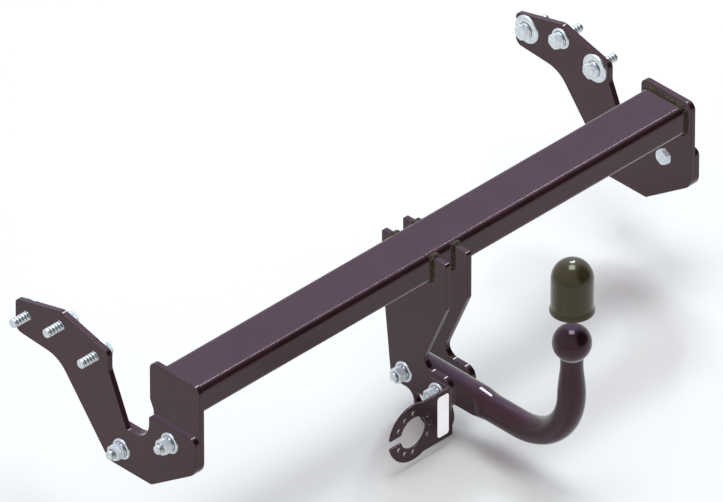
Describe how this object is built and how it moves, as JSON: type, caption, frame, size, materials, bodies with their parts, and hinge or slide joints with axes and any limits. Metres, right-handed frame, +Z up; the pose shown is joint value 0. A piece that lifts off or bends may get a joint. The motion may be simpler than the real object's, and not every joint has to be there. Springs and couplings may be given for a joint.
{
  "type": "towbar",
  "caption": "Fixed crossbar towbar: side arms for a car's chassis rails, a bolted swan neck with a ball, a pull-off cap and a plate for the lamp socket.",
  "frame": {"origin": "the centre of the tow ball, which also names the mount tow_ball", "axes": "+X along the crossbar to the car's right, +Y to the front of the car, +Z up"},
  "size_m": [0.936, 0.5547, 0.3563],
  "materials": {
    "black_paint": "satin black powder coat with a warm tone",
    "zinc": "bright zinc plating",
    "cap_plastic": "glossy black plastic with an olive tone",
    "weld": "painted weld, rough",
    "label": "plain white film"
  },
  "bodies": {
    "bar": {"crossbar_tube": "black_paint", "left_end_plate": "black_paint", "right_end_plate": "black_paint", "left_end_weld": "weld", "right_end_weld": "weld", "left_ear_plate": "black_paint", "right_ear_plate": "black_paint", "left_ear_welds": "weld", "right_ear_welds": "weld", "swan_neck": "black_paint", "left_arm": "black_paint", "right_arm": "black_paint", "left_upper_bolts": "zinc", "right_upper_bolts": "zinc", "left_wide_washers": "zinc", "right_wide_washers": "zinc", "left_middle_washer": "zinc", "right_middle_washer": "zinc", "left_upper_spring_washers": "zinc", "right_upper_spring_washers": "zinc", "left_low_bolts": "zinc", "right_low_bolts": "zinc", "left_low_washers": "zinc", "right_low_washers": "zinc", "left_low_spring_washers": "zinc", "right_low_spring_washers": "zinc", "left_low_nuts": "zinc", "right_low_nuts": "zinc", "front_neck_bolt": "zinc", "rear_neck_bolt": "zinc", "front_neck_washer": "zinc", "rear_neck_washer": "zinc", "front_neck_spring_washer": "zinc", "rear_neck_spring_washer": "zinc", "front_neck_nut": "zinc", "rear_neck_nut": "zinc", "socket_plate": "black_paint", "blank_label": "label"},
    "cap": {"ball_cap": "cap_plastic"}
  },
  "joints": [
    {"name": "cap_lift", "type": "slide", "parent": "bar", "child": "cap", "axis": [0, 0, 1], "range_m": [-0.0963, 0.04]}
  ]
}
